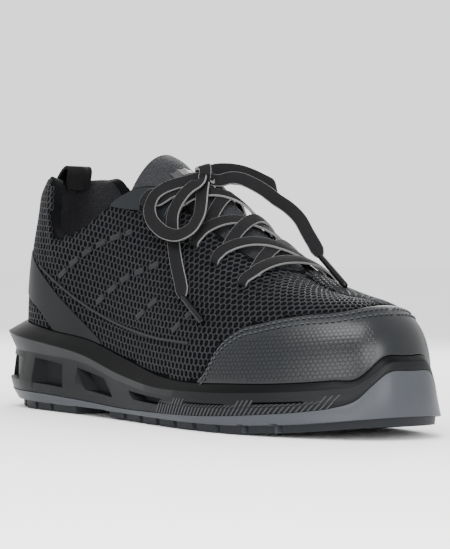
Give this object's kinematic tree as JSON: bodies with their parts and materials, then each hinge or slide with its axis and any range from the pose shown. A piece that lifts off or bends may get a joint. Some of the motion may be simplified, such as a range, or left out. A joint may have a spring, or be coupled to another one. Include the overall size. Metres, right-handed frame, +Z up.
{
  "type": "safety sneaker",
  "caption": "Low safety sneaker for the right foot: knit upper under a cell overlay, hard toe cap, padded collar, laces with a bow, and a dark sole with a recessed cage and a toe bumper.",
  "frame": {"origin": "on the floor, under the middle of the heel seat, on the heel's tread", "axes": "+X from heel to toe, +Y to the inner side of the foot, +Z up"},
  "size_m": [0.3095, 0.1104, 0.1422],
  "materials": {
    "outsole_rubber": "matte, with a slight sheen on the bumper",
    "midsole_cage": "satin, moulded",
    "knit": "dark knit under a raised cell overlay",
    "tongue_knit": "padded knit",
    "insole_fabric": "brushed cloth",
    "cap_film": "semi-gloss film with a pressed cell pattern",
    "overlay_film": "smooth welded film",
    "lace": "flat ribbed lace with a lighter edge",
    "webbing": "woven tape",
    "aglet_plastic": "hard black tip"
  },
  "bodies": {
    "root": {"outsole": "outsole_rubber", "midsole": "midsole_cage", "insole": "insole_fabric", "upper": "knit", "tongue": "tongue_knit", "tongue_label": "overlay_film", "lace_keeper": "overlay_film", "toe_cap": "cap_film", "heel_band": "overlay_film", "seam_lateral": "overlay_film", "seam_medial": "overlay_film", "stay_lateral": "overlay_film", "stay_medial": "overlay_film", "pull_loop": "webbing", "lacing": "lace", "lace_knot": "lace", "lace_loop_lateral": "lace", "lace_loop_medial": "lace", "lace_end_lateral": "lace", "lace_end_medial": "lace", "aglet_lateral": "aglet_plastic", "aglet_medial": "aglet_plastic"}
  },
  "joints": []
}
